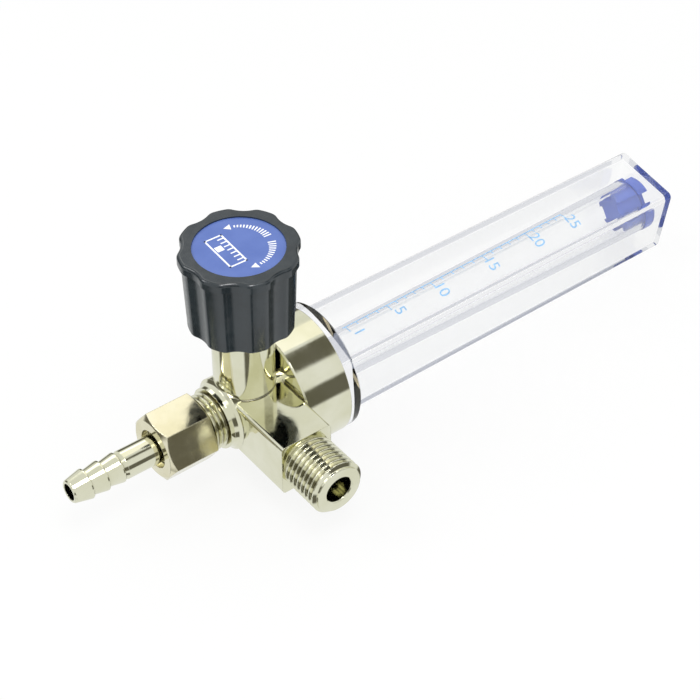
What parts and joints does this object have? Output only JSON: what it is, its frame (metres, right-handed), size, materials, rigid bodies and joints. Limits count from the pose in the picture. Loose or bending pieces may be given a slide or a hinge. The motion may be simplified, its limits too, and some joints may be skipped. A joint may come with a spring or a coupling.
{
  "type": "gas regulator",
  "caption": "Gas flow regulator: brass needle-valve body with control knob, clear sight tube with float ball, male gas inlet and barbed hose outlet.",
  "frame": {"origin": "on the inlet thread's axis, at its gauge plane, 6 mm behind the tip of the male thread", "axes": "-Y along the inlet thread, the way the mating fitting leaves; +Z along the valve stem, towards the knob; +X along the sight tube, towards its closed end. In use the inlet is screwed in with +X upright, so that the ball floats."},
  "size_m": [0.1667, 0.0501, 0.0604],
  "materials": {
    "brass": "polished, pale plated brass",
    "turned_brass": "fine turned",
    "knob_plastic": "satin moulded",
    "label_blue": "printed disc, satin",
    "clear_cover": "clear acrylic",
    "clear_tube": "clear acrylic",
    "stop_blue": "translucent moulded plastic",
    "ball_steel": "polished",
    "screw_steel": "plated",
    "seal_rubber": "matt",
    "packing_white": "matt"
  },
  "bodies": {
    "body": {"valve_body": "brass", "stem_packing": "packing_white", "packing_washer": "turned_brass", "gland_nut": "turned_brass", "metering_tube": "clear_tube", "tube_seal": "seal_rubber", "tube_gland": "turned_brass", "lower_stop": "packing_white", "float_stop": "stop_blue", "sight_cover": "clear_cover", "cover_seal": "seal_rubber"},
    "stem_ring": {"stem_o_ring": "seal_rubber"},
    "control": {"needle_stem": "turned_brass", "knob": "knob_plastic", "knob_insert": "turned_brass", "knob_screw": "screw_steel", "knob_label": "label_blue"},
    "ball": {"float_ball": "ball_steel"},
    "nipple": {"hose_nipple": "brass", "nipple_washer": "packing_white"},
    "nut": {"coupling_nut": "brass"}
  },
  "joints": [
    {"name": "stem_rise", "type": "slide", "parent": "body", "child": "stem_ring", "axis": [0, 0, 1], "range_m": [0, 0.003]},
    {"name": "knob_turn", "type": "hinge", "parent": "stem_ring", "child": "control", "pos_m": [0, 0.0286, 0], "axis": [0, 0, 1], "range_deg": [0, 1080.5]},
    {"name": "ball_float", "type": "slide", "parent": "body", "child": "ball", "axis": [1, 0, 0], "range_m": [0, 0.0907]},
    {"name": "nipple_draw", "type": "slide", "parent": "body", "child": "nipple", "axis": [-1, 0, 0], "range_m": [0, 0.00668]},
    {"name": "nut_turn", "type": "hinge", "parent": "nipple", "child": "nut", "pos_m": [-0.019, 0.0286, 0], "axis": [-1, 0, 0], "range_deg": [0, 1800.5]}
  ],
  "couplings": [
    {"joint": "knob_turn", "follows": "stem_rise", "rad_per_m": 6283.2},
    {"joint": "nut_turn", "follows": "nipple_draw", "rad_per_m": 4699.5}
  ]
}
